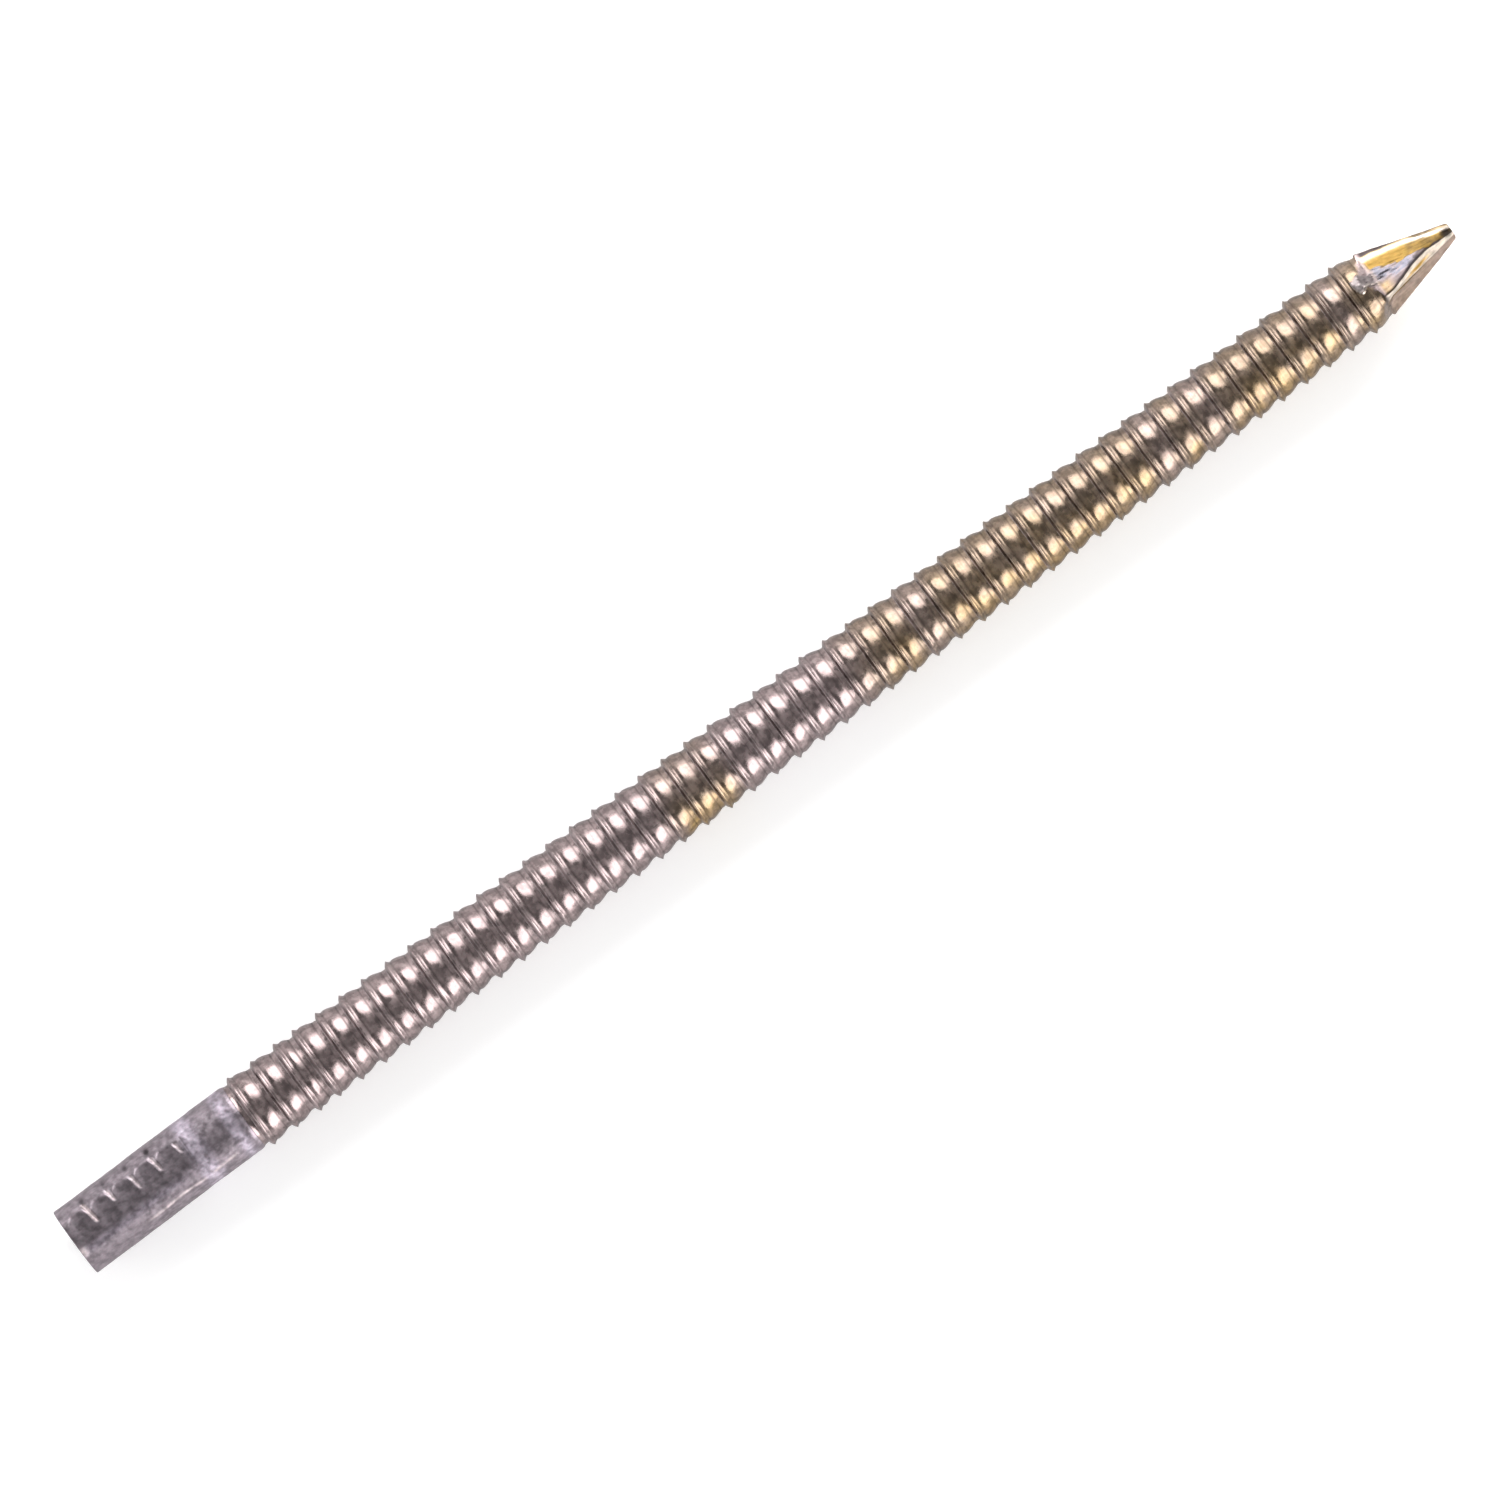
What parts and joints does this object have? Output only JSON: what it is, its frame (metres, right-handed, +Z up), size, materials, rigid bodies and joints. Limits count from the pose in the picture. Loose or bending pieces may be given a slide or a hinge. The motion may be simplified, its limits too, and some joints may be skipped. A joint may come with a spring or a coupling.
{
  "type": "ring-shank nail",
  "caption": "Ring-shank wire nail: a plain end with gripper marks and a flat driven face, barbed annular rings along the shank and a blunt four-sided diamond point.",
  "frame": {"origin": "centre of the flat driven face, on the nail's axis", "axes": "+X along the nail from the driven face to the point, +Z up as the nail lies on a table, +Y to the left of +X seen from above"},
  "size_m": [0.0762, 0.0038, 0.0038],
  "materials": {
    "drawn_steel": "dull drawn and scuffed steel with a faint lilac-grey cast",
    "rolled_steel": "bright cold-rolled steel, neutral towards the driven end and tinted gold by a thin lacquer towards the point",
    "lacquered_point": "bright sheared steel under a patchy gold lacquer"
  },
  "bodies": {
    "root": {"gripped_end": "drawn_steel", "plain_neck": "drawn_steel", "ring_shank": "rolled_steel", "diamond_point": "lacquered_point"}
  },
  "joints": []
}
